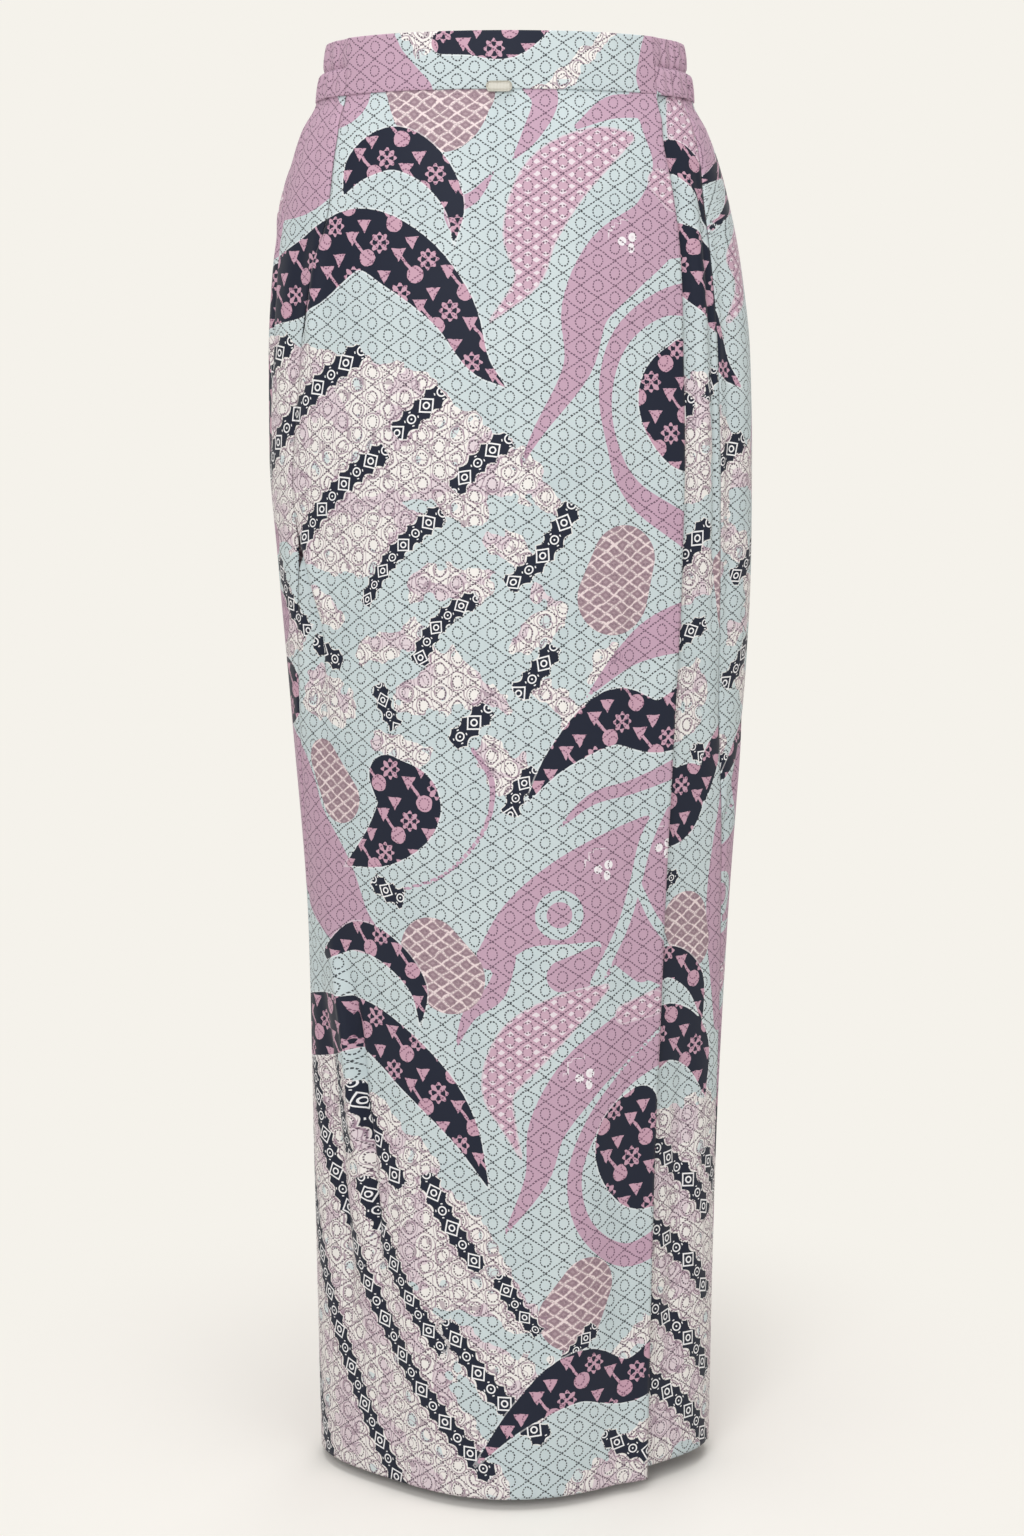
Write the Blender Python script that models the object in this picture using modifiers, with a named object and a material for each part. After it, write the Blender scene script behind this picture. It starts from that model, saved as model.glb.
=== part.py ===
"""Wrap-front batik sarong skirt, filled out as when worn: open at the waist and the hem.

The origin is the middle of the waist, at half the waistband's height. +X is the side that is on the right
as one faces the skirt, -Y is its front and +Z is up. Lengths are in metres and angles in degrees.
An angle runs round the skirt from 0 at the centre front, by +90 at the right side, to 180 at the centre back.
"""

import math
from collections import namedtuple

import bmesh
import bpy
import numpy as np
from mathutils import Vector

BAND_HEIGHT = 0.040
SKIRT_LENGTH = 0.962  # from the waist seam to the hem
SEAM_GAP = 0.0003
WALL_LEAN = 0.27  # two walls that meet on a curve lean together by about this share of their thickness

CLOTH_WALL = 0.0012
BAND_WALL = 0.0030
BAND_PROUD = 0.0008  # the band's face stands out from the panels by this much
LAYER_CLEARANCE = 0.0012  # between the two front panels

WAIST_SEAM = -BAND_HEIGHT / 2
HEM = WAIST_SEAM - SKIRT_LENGTH
PANEL_TOP = WAIST_SEAM - SEAM_GAP
UNDER_HEM_LIFT = 0.005  # the under panel is hemmed this much shorter

PANEL_ROWS = 24
ROW_CROWDING = 1.35  # over 1 puts more rows near the waist, where the skirt flares

# Half widths and half depths of the skirt at each height. Pinch draws the section in between its axes,
# from an ellipse at the waist towards the flatter lens of a narrow hem.
Ring = namedtuple("Ring", "z left right front back pinch")
RINGS = [
    Ring(0.020, 0.1325, 0.1255, 0.0800, 0.0780, 0.00),
    Ring(-0.020, 0.1375, 0.1300, 0.0830, 0.0830, 0.00),
    Ring(-0.041, 0.1485, 0.1405, 0.0880, 0.0930, 0.00),
    Ring(-0.075, 0.1586, 0.1520, 0.0940, 0.1060, 0.00),
    Ring(-0.142, 0.1692, 0.1655, 0.1015, 0.1220, 0.01),
    Ring(-0.200, 0.1722, 0.1714, 0.1050, 0.1255, 0.02),
    Ring(-0.270, 0.1718, 0.1728, 0.1070, 0.1215, 0.02),
    Ring(-0.342, 0.1663, 0.1723, 0.1070, 0.1150, 0.03),
    Ring(-0.458, 0.1562, 0.1666, 0.1060, 0.1070, 0.045),
    Ring(-0.609, 0.1447, 0.1560, 0.1050, 0.1010, 0.065),
    Ring(-0.775, 0.1411, 0.1480, 0.1055, 0.0980, 0.085),
    Ring(-0.982, 0.1361, 0.1433, 0.1055, 0.0960, 0.100),
]

# The run of each cut edge, as an angle at each height.
Edge = namedtuple("Edge", "z angle")
LEFT_SEAM = [
    Edge(-0.020, -56.6),
    Edge(-0.054, -52.0),
    Edge(-0.100, -50.5),
    Edge(-0.155, -57.0),
    Edge(-0.200, -61.0),
    Edge(-0.340, -67.0),
    Edge(-0.500, -78.0),
    Edge(-0.700, -86.0),
    Edge(-0.982, -90.0),
]
RIGHT_SEAM = [
    Edge(-0.020, 69.0),
    Edge(-0.108, 60.0),
    Edge(-0.210, 60.0),
    Edge(-0.330, 61.5),
    Edge(-0.450, 66.0),
    Edge(-0.550, 73.0),
    Edge(-0.700, 83.0),
    Edge(-0.982, 90.0),
]
FREE_EDGE = [
    Edge(-0.020, 51.5),
    Edge(-0.064, 45.9),
    Edge(-0.108, 46.0),
    Edge(-0.209, 44.9),
    Edge(-0.304, 44.9),
    Edge(-0.456, 45.0),
    Edge(-0.700, 46.4),
    Edge(-0.982, 45.9),
]
HIDDEN_EDGE = -28.0  # where the under panel ends behind the over panel

# How far the over panel's free edge stands off, and how far the under panel drops back beside it.
EDGE_LIFT_TOP = 0.0006
EDGE_LIFT_HEM = 0.0050
EDGE_REACH = 14.0

# Large folds, as ridges (depth above 0) or troughs (below 0) that run down between two angles.
Fold = namedtuple("Fold", "top bottom angle_top angle_bottom spread depth")
FOLDS = [
    Fold(-0.060, -0.600, 63.0, 68.0, 4.0, -0.0024),
    Fold(-0.070, -0.520, 73.0, 80.0, 6.0, 0.0016),
    Fold(-0.100, -0.300, -59.0, -66.0, 4.5, -0.0020),
    Fold(-0.300, -0.470, -66.0, -63.0, 4.5, -0.0018),
    Fold(-0.560, -0.960, -66.0, -43.0, 6.0, 0.0022),
    Fold(-0.600, -0.960, -76.0, -55.0, 6.0, -0.0018),
    Fold(-0.030, -0.260, 108.0, 104.0, 5.0, -0.0022),
    Fold(-0.030, -0.190, 124.0, 126.0, 4.0, 0.0020),
    Fold(-0.030, -0.240, 141.0, 139.0, 5.0, -0.0024),
    Fold(-0.030, -0.170, 157.0, 160.0, 4.0, 0.0018),
    Fold(-0.030, -0.230, 176.0, 178.0, 5.0, -0.0022),
    Fold(-0.030, -0.200, 193.0, 190.0, 4.0, 0.0020),
    Fold(-0.030, -0.250, 209.0, 213.0, 5.0, -0.0024),
    Fold(-0.030, -0.180, 226.0, 224.0, 4.0, 0.0018),
    Fold(-0.030, -0.250, 243.0, 247.0, 5.0, -0.0022),
    Fold(-0.030, -0.210, 262.0, 266.0, 5.0, 0.0018),
    Fold(-0.450, -0.960, 118.0, 131.0, 9.0, 0.0030),
    Fold(-0.420, -0.960, 152.0, 149.0, 8.0, -0.0028),
    Fold(-0.500, -0.960, 204.0, 213.0, 9.0, 0.0030),
    Fold(-0.460, -0.960, 236.0, 240.0, 8.0, -0.0026),
]

BAND_FRONT_LEFT = -56.6
BAND_FRONT_RIGHT = 51.5
PUFF = 0.0024  # how far each elastic channel swells
CHANNELS = 2
FACE_CROWN = 0.0005  # the flat band's face is very slightly rounded

TAB_LEFT = -0.0160
TAB_RIGHT = 0.0015
TAB_TOP = -0.0150
TAB_BOTTOM = -0.0222
TAB_WALL = 0.0015

NAVY_BATIK = (0.52, 0.56, 0.62, 1.0)
CREAM_TAPE = (0.80, 0.78, 0.70, 1.0)


def clear_scene():
    for item in list(bpy.data.objects):
        bpy.data.objects.remove(item, do_unlink=True)


def along(rows, column, z):
    """A column of a table at height z, on a smooth curve that doesn't overshoot its rows."""
    heights = np.array([-row.z for row in rows])
    values = np.array([getattr(row, column) for row in rows])
    at = min(max(-z, heights[0]), heights[-1])
    steps = np.diff(heights)
    slopes = np.diff(values) / steps
    tangents = np.zeros(len(rows))
    tangents[0], tangents[-1] = slopes[0], slopes[-1]
    for i in range(1, len(rows) - 1):
        before, after = slopes[i - 1], slopes[i]
        if before * after > 0:
            tangents[i] = 2 * before * after / (before + after)
    i = min(int(np.searchsorted(heights, at, side="right")) - 1, len(rows) - 2)
    u = (at - heights[i]) / steps[i]
    return float(
        (2 * u**3 - 3 * u**2 + 1) * values[i]
        + (u**3 - 2 * u**2 + u) * steps[i] * tangents[i]
        + (3 * u**2 - 2 * u**3) * values[i + 1]
        + (u**3 - u**2) * steps[i] * tangents[i + 1]
    )


def smooth_step(value, start, end):
    u = min(max((value - start) / (end - start), 0.0), 1.0)
    return u * u * (3 - 2 * u)


def ring_point(z, angle):
    """The skirt's smooth form, before folds, as (x, y)."""
    turn = math.radians(angle)
    across, deep = math.sin(turn), math.cos(turn)
    width = along(RINGS, "right" if across > 0 else "left", z)
    depth = along(RINGS, "front" if deep > 0 else "back", z)
    reach = 1 - along(RINGS, "pinch", z) * math.sin(2 * turn) ** 2
    return Vector((width * across * reach, -depth * deep * reach))


def outward(z, angle):
    """The level unit normal of the form, and how many metres of cloth one degree takes."""
    step = 0.5
    run = ring_point(z, angle + step) - ring_point(z, angle - step)
    return Vector((run.y, -run.x)).normalized(), run.length / (2 * step)


def drawn_back(z, angle, wall, way):
    """An edge's angle with half of its seam's gap taken off, so that the walls stay SEAM_GAP apart."""
    half_gap = (SEAM_GAP + WALL_LEAN * wall) / 2
    return angle + way * half_gap / outward(z, angle)[1]


def fold_depth(z, angle):
    total = 0.0
    for fold in FOLDS:
        if not fold.bottom < z < fold.top:
            continue
        length = fold.top - fold.bottom
        u = (fold.top - z) / length
        centre = fold.angle_top + u * (fold.angle_bottom - fold.angle_top)
        apart = (angle - centre + 180) % 360 - 180
        fade = smooth_step(u, 0.0, 0.2) * (1 - smooth_step(u, 0.55, 1.0))
        total += fold.depth * fade * math.exp(-((apart / fold.spread) ** 2))
    return total


def surface_point(z, angle, out):
    level = ring_point(z, angle)
    normal, _ = outward(z, angle)
    level += normal * (out + fold_depth(z, angle))
    return Vector((level.x, level.y, z))


def edge_lift(z):
    drop = (WAIST_SEAM - z) / SKIRT_LENGTH
    return EDGE_LIFT_TOP + (EDGE_LIFT_HEM - EDGE_LIFT_TOP) * drop**1.5


def over_out(z, angle):
    """The over panel lies on the form, and lifts a little along its free edge."""
    near = along(FREE_EDGE, "angle", z) - angle
    return edge_lift(z) * (1 - smooth_step(near, 0.0, EDGE_REACH))


def under_out(z, angle):
    """The under panel lies a wall and a clearance inside the over panel, and comes out to the form at its seam."""
    inside = -(CLOTH_WALL + LAYER_CLEARANCE)
    shown = along(FREE_EDGE, "angle", z)
    seam = along(RIGHT_SEAM, "angle", z)
    return inside * (1 - smooth_step(angle, shown + 1.0, seam))


def add_part(name, mesh, colour, wall, inward=True):
    """An object with its material and its wall, in the skirt's collection."""
    part = bpy.data.objects.new(name, mesh)
    bpy.data.collections["batik_sarong_skirt"].objects.link(part)
    material = bpy.data.materials.new(name)
    material.use_nodes = True
    shader = material.node_tree.nodes["Principled BSDF"]
    shader.inputs["Base Color"].default_value = colour
    shader.inputs["Roughness"].default_value = 0.65
    shader.inputs["Metallic"].default_value = 0.0
    mesh.materials.append(material)
    solidify = part.modifiers.new("wall", "SOLIDIFY")
    solidify.thickness = wall
    solidify.offset = -1 if inward else 1
    solidify.use_even_offset = True
    solidify.use_quality_normals = True
    return part


def grid_mesh(name, columns, rows, place):
    """An open grid whose points place(across, down) puts on the skirt, both running from 0 to 1."""
    mesh = bpy.data.meshes.new(name)
    grid = bmesh.new()
    bmesh.ops.create_grid(grid, x_segments=columns, y_segments=rows, size=0.5)
    for vertex in grid.verts:
        vertex.co = place(vertex.co.x + 0.5, 0.5 - vertex.co.y)
    grid.to_mesh(mesh)
    grid.free()
    for face in mesh.polygons:
        face.use_smooth = True
    return mesh


def panel(name, columns, start, end, out, hem=HEM):
    """A cloth panel from the waist seam to its hem, between two edges given as angles at a height."""

    def place(across, down):
        z = PANEL_TOP + (hem - PANEL_TOP) * down**ROW_CROWDING
        first = drawn_back(z, start(z), CLOTH_WALL, 1)
        last = drawn_back(z, end(z), CLOTH_WALL, -1)
        angle = first + across * (last - first)
        return surface_point(z, angle, out(z, angle))

    return add_part(name, grid_mesh(name, columns, PANEL_ROWS, place), NAVY_BATIK, CLOTH_WALL)


def band(name, columns, rows, first, last, swell):
    """A stretch of waistband between two angles, whose face swells as swell(down) says."""

    def place(across, down):
        z = WAIST_SEAM + BAND_HEIGHT * (1 - down)
        start = drawn_back(z, first, BAND_WALL, 1)
        end = drawn_back(z, last, BAND_WALL, -1)
        angle = start + across * (end - start)
        return surface_point(z, angle, BAND_PROUD + swell(down))

    return add_part(name, grid_mesh(name, columns, rows, place), NAVY_BATIK, BAND_WALL)


def flat_face(down):
    return FACE_CROWN * (1 - (2 * down - 1) ** 2)


def elastic_channels(down):
    return PUFF * abs(math.sin(math.pi * CHANNELS * down))


def waist_tab():
    """A folded bit of tape, bent round the band's face and clear of it."""
    front = along(RINGS, "front", WAIST_SEAM)
    wide = along(RINGS, "right", WAIST_SEAM)
    clear = BAND_PROUD + FACE_CROWN + SEAM_GAP

    def place(across, down):
        x = TAB_LEFT + (TAB_RIGHT - TAB_LEFT) * across
        z = TAB_TOP + (TAB_BOTTOM - TAB_TOP) * down
        y = -(front + clear) * math.sqrt(1 - (x / wide) ** 2)
        return Vector((x, y, z))

    tab = add_part("waist_tab", grid_mesh("waist_tab", 6, 3, place), CREAM_TAPE, TAB_WALL, inward=False)
    bevel = tab.modifiers.new("soft edge", "BEVEL")
    bevel.width = TAB_WALL * 0.3
    bevel.segments = 2
    bevel.angle_limit = math.radians(60)
    return tab


def build():
    clear_scene()
    skirt = bpy.data.collections.new("batik_sarong_skirt")
    bpy.context.scene.collection.children.link(skirt)
    left_seam = lambda z: along(LEFT_SEAM, "angle", z)
    right_seam = lambda z: along(RIGHT_SEAM, "angle", z)
    free_edge = lambda z: along(FREE_EDGE, "angle", z)
    panel("front_over_panel", 20, left_seam, free_edge, over_out)
    panel("front_under_panel", 16, lambda z: HIDDEN_EDGE, right_seam, under_out, HEM + UNDER_HEM_LIFT)
    panel("back_panel", 40, right_seam, lambda z: 360 + left_seam(z), lambda z, angle: 0.0)
    band("waistband_front", 20, 3, BAND_FRONT_LEFT, BAND_FRONT_RIGHT, flat_face)
    band("waistband_back", 36, 8, BAND_FRONT_RIGHT, 360 + BAND_FRONT_LEFT, elastic_channels)
    waist_tab()


build()
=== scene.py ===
import ast
import math

import bpy
import numpy as np
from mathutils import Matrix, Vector


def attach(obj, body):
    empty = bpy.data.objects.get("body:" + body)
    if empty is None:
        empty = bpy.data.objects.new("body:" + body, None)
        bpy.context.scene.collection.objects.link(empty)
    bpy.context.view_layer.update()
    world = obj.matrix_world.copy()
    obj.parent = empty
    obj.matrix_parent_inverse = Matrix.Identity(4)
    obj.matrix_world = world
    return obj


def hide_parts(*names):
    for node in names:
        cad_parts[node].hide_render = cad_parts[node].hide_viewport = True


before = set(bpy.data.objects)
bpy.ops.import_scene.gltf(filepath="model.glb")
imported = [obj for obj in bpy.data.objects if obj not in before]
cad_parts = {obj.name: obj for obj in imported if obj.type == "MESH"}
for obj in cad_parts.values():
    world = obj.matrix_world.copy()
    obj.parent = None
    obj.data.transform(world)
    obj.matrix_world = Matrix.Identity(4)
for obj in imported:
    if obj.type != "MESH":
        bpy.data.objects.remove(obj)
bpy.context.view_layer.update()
rootBody = "root"

# The skirt's form, in metres: height, half widths left and right, half depths front and back, and pinch.
ringRows = np.array([
    (0.020, 0.1325, 0.1255, 0.0800, 0.0780, 0.00),
    (-0.020, 0.1375, 0.1300, 0.0830, 0.0830, 0.00),
    (-0.041, 0.1485, 0.1405, 0.0880, 0.0930, 0.00),
    (-0.075, 0.1586, 0.1520, 0.0940, 0.1060, 0.00),
    (-0.142, 0.1692, 0.1655, 0.1015, 0.1220, 0.01),
    (-0.200, 0.1722, 0.1714, 0.1050, 0.1255, 0.02),
    (-0.270, 0.1718, 0.1728, 0.1070, 0.1215, 0.02),
    (-0.342, 0.1663, 0.1723, 0.1070, 0.1150, 0.03),
    (-0.458, 0.1562, 0.1666, 0.1060, 0.1070, 0.045),
    (-0.609, 0.1447, 0.1560, 0.1050, 0.1010, 0.065),
    (-0.775, 0.1411, 0.1480, 0.1055, 0.0980, 0.085),
    (-0.982, 0.1361, 0.1433, 0.1055, 0.0960, 0.100),
])
left, right, front, back, pinch = 1, 2, 3, 4, 5  # its columns

# Where the panels are cut, as an angle at each height: 0 is centre front, 90 the right side.
leftSeamRows = np.array([
    (-0.020, -56.6), (-0.054, -52.0), (-0.100, -50.5), (-0.155, -57.0), (-0.200, -61.0),
    (-0.340, -67.0), (-0.500, -78.0), (-0.700, -86.0), (-0.982, -90.0),
])
rightSeamRows = np.array([
    (-0.020, 69.0), (-0.108, 60.0), (-0.210, 60.0), (-0.330, 61.5), (-0.450, 66.0),
    (-0.550, 73.0), (-0.700, 83.0), (-0.982, 90.0),
])
freeEdgeRows = np.array([
    (-0.020, 51.5), (-0.064, 45.9), (-0.108, 46.0), (-0.209, 44.9), (-0.304, 44.9),
    (-0.456, 45.0), (-0.700, 46.4), (-0.982, 45.9),
])
# Large folds: top and bottom height, angle at each, spread in degrees, depth (troughs below 0).
foldRows = [
    (-0.060, -0.600, 63.0, 68.0, 4.0, -0.0034),
    (-0.070, -0.520, 73.0, 80.0, 6.0, 0.0016),
    (-0.100, -0.300, -59.0, -66.0, 4.5, -0.0030),
    (-0.300, -0.500, -66.0, -60.0, 4.5, -0.0036),
    (-0.560, -0.960, -66.0, -43.0, 6.0, 0.0036),
    (-0.600, -0.960, -76.0, -55.0, 5.0, -0.0034),
    (-0.030, -0.260, 108.0, 104.0, 5.0, -0.0022),
    (-0.030, -0.190, 124.0, 126.0, 4.0, 0.0020),
    (-0.030, -0.240, 141.0, 139.0, 5.0, -0.0024),
    (-0.030, -0.170, 157.0, 160.0, 4.0, 0.0018),
    (-0.030, -0.230, 176.0, 178.0, 5.0, -0.0022),
    (-0.030, -0.200, 193.0, 190.0, 4.0, 0.0020),
    (-0.030, -0.250, 209.0, 213.0, 5.0, -0.0024),
    (-0.030, -0.180, 226.0, 224.0, 4.0, 0.0018),
    (-0.030, -0.250, 243.0, 247.0, 5.0, -0.0022),
    (-0.030, -0.210, 262.0, 266.0, 5.0, 0.0018),
    (-0.450, -0.960, 118.0, 131.0, 9.0, 0.0030),
    (-0.420, -0.960, 152.0, 149.0, 8.0, -0.0028),
    (-0.500, -0.960, 204.0, 213.0, 9.0, 0.0030),
    (-0.460, -0.960, 236.0, 240.0, 8.0, -0.0026),
]

skirt = {
    "waistSeam": -0.020,
    "hem": -0.982,
    "underHem": -0.977,
    "cloth": 0.0007,  # thickness
    "seamGap": 0.0002,
    "sideGap": 0.12,  # degrees between two pieces at a side seam
    "layerGap": 0.0024,  # how far the under panel lies inside the form, and the over panel on it
    "hiddenEdge": -28.0,  # degrees: the under panel's edge, behind the over panel
    "edgeLift": (0.0006, 0.0050),  # the free edge stands off by this, at the waist and at the hem
    "edgeReach": 14.0,  # and comes to rest over so many degrees
    "creaseDepth": 2.4,  # how strongly the small creases are laid in
}


def along(rows, column, z):  # a column of a table at these heights, on a smooth curve without overshoot
    heights, values = -rows[:, 0], rows[:, column]
    at = np.clip(-np.asarray(z, float), heights[0], heights[-1])
    steps = np.diff(heights)
    slopes = np.diff(values) / steps
    tangents = np.concatenate([slopes[:1], np.zeros(len(rows) - 2), slopes[-1:]])
    for i in range(1, len(rows) - 1):
        before, after = slopes[i - 1], slopes[i]
        if before * after > 0:
            tangents[i] = 2 * before * after / (before + after)
    i = np.clip(np.searchsorted(heights, at, side="right") - 1, 0, len(rows) - 2)
    s = (at - heights[i]) / steps[i]
    return (
        (2 * s**3 - 3 * s**2 + 1) * values[i]
        + (s**3 - 2 * s**2 + s) * steps[i] * tangents[i]
        + (3 * s**2 - 2 * s**3) * values[i + 1]
        + (s**3 - s**2) * steps[i] * tangents[i + 1]
    )


def smoothStep(value, start, end):
    s = np.clip((value - start) / (end - start), 0.0, 1.0)
    return s * s * (3 - 2 * s)


def ringPoint(z, angle):
    turn = np.radians(angle)
    across, deep = np.sin(turn), np.cos(turn)
    width = np.where(across > 0, along(ringRows, right, z), along(ringRows, left, z))
    depth = np.where(deep > 0, along(ringRows, front, z), along(ringRows, back, z))
    reach = 1 - along(ringRows, pinch, z) * np.sin(2 * turn) ** 2
    return width * across * reach, -depth * deep * reach


def outward(z, angle):  # the form's level normal
    ax, ay = ringPoint(z, angle + 0.5)
    bx, by = ringPoint(z, angle - 0.5)
    dx, dy = ax - bx, ay - by
    size = np.hypot(dx, dy)
    return dy / size, -dx / size


def foldDepth(z, angle):
    total = np.zeros_like(z)
    for top, bottom, angleTop, angleBottom, spread, depth in foldRows:
        s = (top - z) / (top - bottom)
        apart = (angle - (angleTop + s * (angleBottom - angleTop)) + 180) % 360 - 180
        fade = smoothStep(s, 0.0, 0.2) * (1 - smoothStep(s, 0.55, 1.0)) * (s > 0) * (s < 1)
        total += depth * fade * np.exp(-((apart / spread) ** 2))
    return total


def surfacePoint(z, angle, out):
    x, y = ringPoint(z, angle)
    nx, ny = outward(z, angle)
    out = out + foldDepth(z, angle)
    return x + nx * out, y + ny * out, z


def arcFrom(z, start, angle):  # millimetres of cloth round the form from one angle to another
    total = np.zeros_like(z)
    steps = 24
    lastX, lastY = ringPoint(z, start + 0 * angle)
    for i in range(1, steps + 1):
        x, y = ringPoint(z, start + (angle - start) * i / steps)
        total += np.hypot(x - lastX, y - lastY)
        lastX, lastY = x, y
    return total * 1000 * np.sign(angle - start)


# The print's drawing is brushed on in strokes, in millimetres: u runs right from centre front, v down from
# the waist seam, and the third figure is the brush's half width there. A stroke ending at 0 comes to a point.
navyStrokes = [
    [(-120, 72, 0), (-106, 50, 11), (-80, 40, 15), (-54, 54, 12), (-38, 80, 7), (-38, 108, 0)],
    [
        (-266, 168, 10), (-214, 142, 20), (-160, 128, 25), (-110, 102, 21), (-72, 118, 22), (-40, 150, 16),
        (-22, 186, 8), (-2, 204, 0),
    ],
    [(124, 184, 14), (116, 208, 26), (124, 236, 22), (134, 256, 6)],
    [(10, 486, 0), (34, 454, 9), (72, 428, 19), (108, 436, 18), (150, 418, 24)],
    [(-88, 470, 15), (-72, 490, 24), (-92, 516, 16), (-128, 536, 0)],
    [(-146, 600, 4), (-118, 584, 10), (-88, 592, 10), (-66, 614, 7), (-64, 642, 0)],
    [
        (-256, 682, 12), (-204, 664, 20), (-154, 652, 22), (-110, 646, 17), (-68, 672, 18), (-36, 706, 12),
        (-14, 750, 0),
    ],
    [(96, 698, 13), (84, 722, 25), (92, 750, 19), (106, 766, 5)],
    [(-26, 942, 0), (8, 904, 9), (48, 880, 18), (90, 890, 15), (138, 862, 20)],
]
mauveStrokes = [
    [(14, -10, 11), (24, 8, 9), (14, 32, 6), (0, 52, 0)],
    [(46, 26, 2), (70, 12, 8), (94, 10, 8)],
    [
        (94, -10, 12), (102, 22, 9), (114, 54, 13), (104, 92, 21), (74, 118, 24), (52, 150, 17),
        (46, 190, 10), (20, 232, 4), (4, 262, 0),
    ],
    [(108, 96, 20), (136, 88, 24)],
    [(146, 142, 15), (108, 146, 9), (78, 168, 7), (66, 202, 5), (70, 240, 4), (88, 276, 8), (140, 310, 12)],
    [(-8, 54, 0), (-24, 74, 4), (-40, 84, 5), (-36, 106, 0)],
    [(50, 416, 0), (80, 388, 8), (110, 372, 15), (142, 366, 20)],
    [(28, 508, 0), (56, 484, 4), (90, 476, 5), (130, 462, 7)],
    [(-14, 590, 9), (10, 566, 18), (44, 552, 30), (82, 542, 38), (128, 530, 40)],
    [(86, 580, 22), (118, 598, 20)],
    [(36, 604, 11), (60, 598, 13)],
    [(-2, 592, 6), (-10, 614, 7), (-28, 630, 5), (-40, 658, 0)],
    [(110, 630, 12), (80, 650, 16), (50, 672, 17), (26, 706, 13), (18, 742, 8), (-6, 784, 0)],
    [(128, 652, 13), (90, 674, 7), (60, 702, 6), (44, 740, 5), (52, 778, 6), (84, 802, 8), (120, 792, 9)],
    [(-258, 478, 50), (-208, 488, 48), (-178, 514, 34), (-150, 548, 32), (-122, 576, 18), (-88, 592, 4)],
    [(84, 596, 8), (96, 604, 9)],
    [(-156, 6, 22), (-122, 4, 18), (-108, -6, 9)],
    [(-26, 448, 1.4), (-12, 472, 2), (-18, 504, 1.6), (-44, 534, 1.4), (-78, 548, 1.2)],
]
aquaStrokes = [  # cut back out of the mauve
    [(112, 488, 4), (98, 514, 5), (90, 544, 4.5), (80, 574, 4.5), (60, 610, 4)],
    [(92, 546, 3), (106, 572, 3.5), (126, 594, 4)],
]
leafStrokes = [
    [(84, 32, 3), (58, 42, 15), (30, 64, 22), (14, 98, 18), (12, 130, 8), (-14, 160, 0)],
    [(68, 614, 2), (40, 628, 12), (10, 650, 18), (-8, 680, 11), (0, 708, 4), (8, 728, 0)],
    [(106, 62, 8), (118, 72, 10)],
    [(82, 634, 6), (106, 628, 8)],
]
netStrokes = [
    [(-72, -8, 18), (-50, 16, 28), (-32, 2, 22)],
    [(80, 320, 23), (72, 346, 26)],
    [(-56, 588, 23), (-42, 606, 25)],
    [(54, 818, 20), (42, 838, 23)],
    [(-146, 462, 14), (-130, 488, 18)],
]
creamStrokes = [
    [
        (-258, 248, 60), (-196, 240, 74), (-138, 250, 70), (-88, 236, 50), (-44, 250, 32), (4, 262, 16),
        (38, 290, 0),
    ],
    [(-156, 292, 34), (-118, 302, 30), (-84, 290, 22)],
    [(-32, 264, 16), (-26, 284, 14)],
    [(-62, 336, 12), (-30, 338, 11), (-8, 326, 3)],
    [(-148, 348, 11), (-128, 360, 7)],
    [(-102, 384, 9), (-74, 374, 11), (-58, 386, 5)],
    [(6, 374, 9), (26, 360, 8)],
    [(-68, 412, 13), (-40, 402, 17), (-6, 420, 8)],
    [(-16, 452, 11), (0, 466, 12), (12, 450, 4)],
    [(-96, 446, 8), (-68, 454, 9)],
    [(-150, 412, 17), (-128, 422, 14)],
    [(-212, 380, 26), (-186, 372, 22)],
    [(24, 408, 7), (40, 424, 9), (50, 444, 2)],
    [(70, 382, 7), (58, 400, 4)],
    [(-10, 306, 11), (6, 316, 9)],
    [(20, 342, 8), (34, 352, 6)],
    [
        (-248, 752, 92), (-186, 760, 94), (-134, 758, 72), (-88, 764, 48), (-48, 798, 34), (-6, 824, 18),
        (24, 844, 3),
    ],
    [(-246, 892, 94), (-168, 896, 96), (-106, 894, 64), (-74, 920, 46), (-40, 950, 36)],
    [(-80, 834, 22), (-62, 874, 22)],
    [(-34, 850, 9), (-8, 876, 18), (20, 894, 15)],
    [(84, 868, 6), (106, 856, 8)],
    [(40, 862, 6), (26, 884, 5)],
    [(50, 962, 9), (88, 948, 20), (136, 940, 30)],
]
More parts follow.
